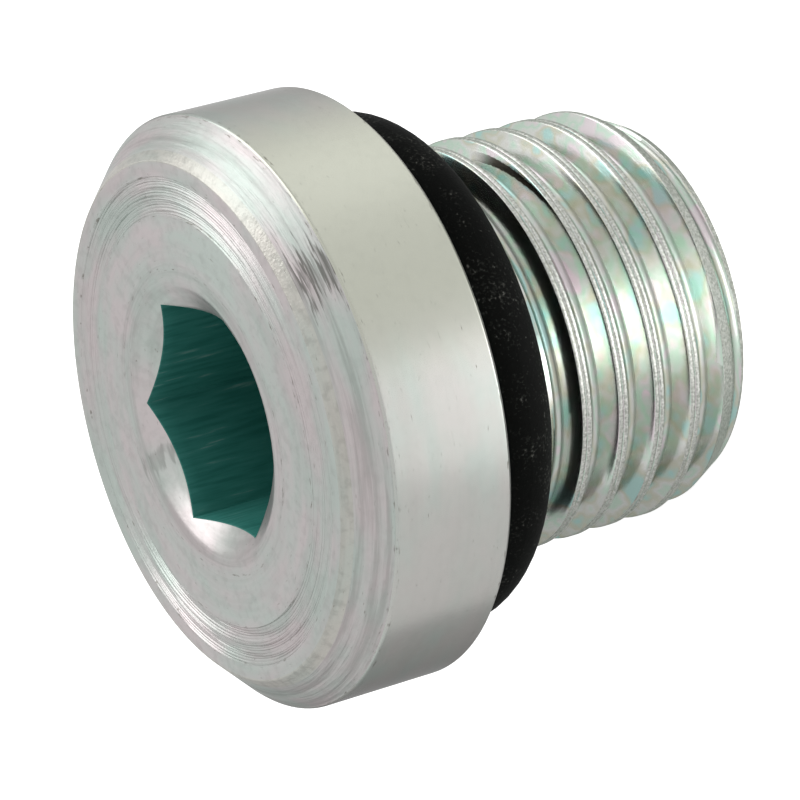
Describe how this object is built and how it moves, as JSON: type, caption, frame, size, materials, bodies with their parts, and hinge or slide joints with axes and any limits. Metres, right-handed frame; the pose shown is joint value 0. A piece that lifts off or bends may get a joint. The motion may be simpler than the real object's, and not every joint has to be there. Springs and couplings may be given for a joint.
{
  "type": "hex socket plug",
  "caption": "Short threaded metal plug with a bevelled round head, a hexagon key socket and a rubber sealing ring; closes a threaded fluid port.",
  "frame": {"origin": "centre of the thread's end face, on which the plug stands", "axes": "+Z along the axis from the thread end to the head's front face; +X through a corner of the hexagon socket"},
  "size_m": [0.014, 0.014, 0.012],
  "materials": {
    "zinc_plated_steel": "turned steel, bright zinc plated and clear passivated, satin",
    "black_rubber": "matt black moulded rubber"
  },
  "bodies": {
    "root": {"plug_body": "zinc_plated_steel", "o_ring": "black_rubber"}
  },
  "joints": []
}
